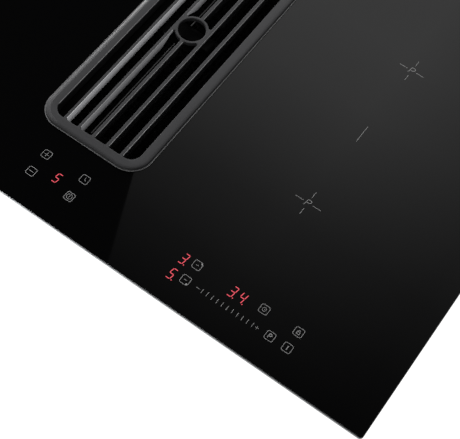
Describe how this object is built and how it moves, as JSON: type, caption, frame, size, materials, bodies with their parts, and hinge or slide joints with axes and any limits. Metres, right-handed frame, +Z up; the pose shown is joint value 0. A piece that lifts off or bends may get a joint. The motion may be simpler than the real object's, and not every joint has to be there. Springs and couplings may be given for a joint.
{
  "type": "built-in induction cooktop with downdraft extractor",
  "caption": "Built-in black glass-ceramic induction cooktop with touch panels and a central lift-off downdraft grille over a filter, drip tray and fan box with a rectangular rear duct outlet.",
  "frame": {"origin": "below the middle of the glass plate, on the plane of the extractor case's underside", "axes": "+X to the user's right, +Y to the back, +Z up"},
  "size_m": [0.83, 0.53, 0.213],
  "materials": {
    "glass_black": "polished black glass-ceramic",
    "seal_foam": "closed-cell foam tape",
    "grille_black": "matt black enamel with a fine grain",
    "silicone": "matt silicone",
    "filter_metal": "black coated",
    "filter_mesh": "black coated expanded mesh",
    "filter_handle": "matt black",
    "tray_black": "fine grain",
    "liner_black": "fine grain",
    "galvanised_sheet": "galvanised sheet with a fine spangle",
    "mica": "pressed mica",
    "sensor_ceramic": "matt",
    "pad_metal": "tinned spring",
    "display_red": "filter window",
    "duct_plastic": "moulded",
    "flap_plastic": "moulded",
    "rubber_black": "matt",
    "motor_metal": "laminated",
    "bearing_steel": "ground",
    "impeller_plastic": "moulded",
    "terminal_plastic": "moulded",
    "zinc_steel": "zinc plated",
    "screw_steel": "zinc plated",
    "coil_plate_metal": "rolled sheet",
    "carrier_plastic": "glass-filled moulding",
    "litz_copper": "enamelled litz wire",
    "ferrite": "sintered",
    "circuit_board": "solder mask",
    "heatsink_metal": "extruded",
    "board_parts": "sleeved parts",
    "fan_plastic": "moulded"
  },
  "bodies": {
    "cooktop": {"glass_plate": "glass_black", "worktop_seal": "seal_foam", "throat_liner": "liner_black", "hob_pan": "galvanised_sheet", "coil_plate_left": "coil_plate_metal", "coil_plate_right": "coil_plate_metal", "mica_sheets": "mica", "coil_carrier_front_left": "carrier_plastic", "coil_carrier_rear_left": "carrier_plastic", "coil_carrier_front_right": "carrier_plastic", "coil_carrier_rear_right": "carrier_plastic", "coil_winding_front_left": "litz_copper", "coil_winding_rear_left": "litz_copper", "coil_winding_front_right": "litz_copper", "coil_winding_rear_right": "litz_copper", "coil_ferrites_front_left": "ferrite", "coil_ferrites_rear_left": "ferrite", "coil_ferrites_front_right": "ferrite", "coil_ferrites_rear_right": "ferrite", "temperature_sensors": "sensor_ceramic", "power_board_left": "circuit_board", "power_board_right": "circuit_board", "heatsink_left": "heatsink_metal", "heatsink_right": "heatsink_metal", "board_parts_left": "board_parts", "board_parts_right": "board_parts", "cooling_fan_frame_left": "fan_plastic", "cooling_fan_frame_right": "fan_plastic", "touch_board_left": "circuit_board", "touch_board_centre": "circuit_board", "touch_board_right": "circuit_board", "touch_pads": "pad_metal", "display_modules": "display_red", "extractor_case": "galvanised_sheet", "intake_chamber": "duct_plastic", "bridge_duct": "duct_plastic", "scroll_base": "duct_plastic", "scroll_lid": "duct_plastic", "motor_mounts": "rubber_black", "motor_stator": "motor_metal", "motor_bearings": "bearing_steel", "diffuser": "duct_plastic", "outlet_collar": "duct_plastic", "terminal_base": "terminal_plastic", "terminal_block": "terminal_plastic", "clamp_brackets": "zinc_steel", "screws": "screw_steel"},
    "grille": {"grille": "grille_black", "grille_pads": "silicone"},
    "filter": {"filter_frame": "filter_metal", "filter_meshes": "filter_mesh", "filter_core": "filter_mesh", "filter_handle": "filter_handle"},
    "tray": {"liquid_tray": "tray_black"},
    "fan_wheel": {"impeller": "impeller_plastic", "motor_shaft": "bearing_steel"},
    "cooling_wheel_left": {"cooling_fan_rotor_left": "fan_plastic"},
    "cooling_wheel_right": {"cooling_fan_rotor_right": "fan_plastic"},
    "flap": {"outlet_flap": "flap_plastic"},
    "terminal_lid": {"terminal_cover": "terminal_plastic"}
  },
  "joints": [
    {"name": "grille_lift", "type": "slide", "parent": "cooktop", "child": "grille", "axis": [0, 0, 1], "range_m": [0, 0.2]},
    {"name": "filter_lift", "type": "slide", "parent": "cooktop", "child": "filter", "axis": [0, 0, 1], "range_m": [0, 0.16]},
    {"name": "tray_lift", "type": "slide", "parent": "cooktop", "child": "tray", "axis": [0, 0, 1], "range_m": [0, 0.18]},
    {"name": "fan_spin", "type": "hinge", "parent": "cooktop", "child": "fan_wheel", "pos_m": [0.16125, -0.015, 0.04], "axis": [0, 0, 1], "continuous": true},
    {"name": "cooling_spin_left", "type": "hinge", "parent": "cooktop", "child": "cooling_wheel_left", "pos_m": [-0.2605, 0.15, 0.162], "axis": [0, 0, 1], "continuous": true},
    {"name": "cooling_spin_right", "type": "hinge", "parent": "cooktop", "child": "cooling_wheel_right", "pos_m": [0.2605, 0.15, 0.162], "axis": [0, 0, 1], "continuous": true},
    {"name": "flap_swing", "type": "hinge", "parent": "cooktop", "child": "flap", "pos_m": [0.17475, 0.213, 0.091], "axis": [1, 0, 0], "range_deg": [0, 60]},
    {"name": "terminal_cover_swing", "type": "hinge", "parent": "cooktop", "child": "terminal_lid", "pos_m": [-0.25, 0.114, 0.146], "axis": [-1, 0, 0], "range_deg": [0, 95]}
  ],
  "couplings": [
    {"joint": "filter_lift", "follows": "grille_lift", "ratio": 0.8},
    {"joint": "tray_lift", "follows": "grille_lift", "ratio": 0.9}
  ]
}
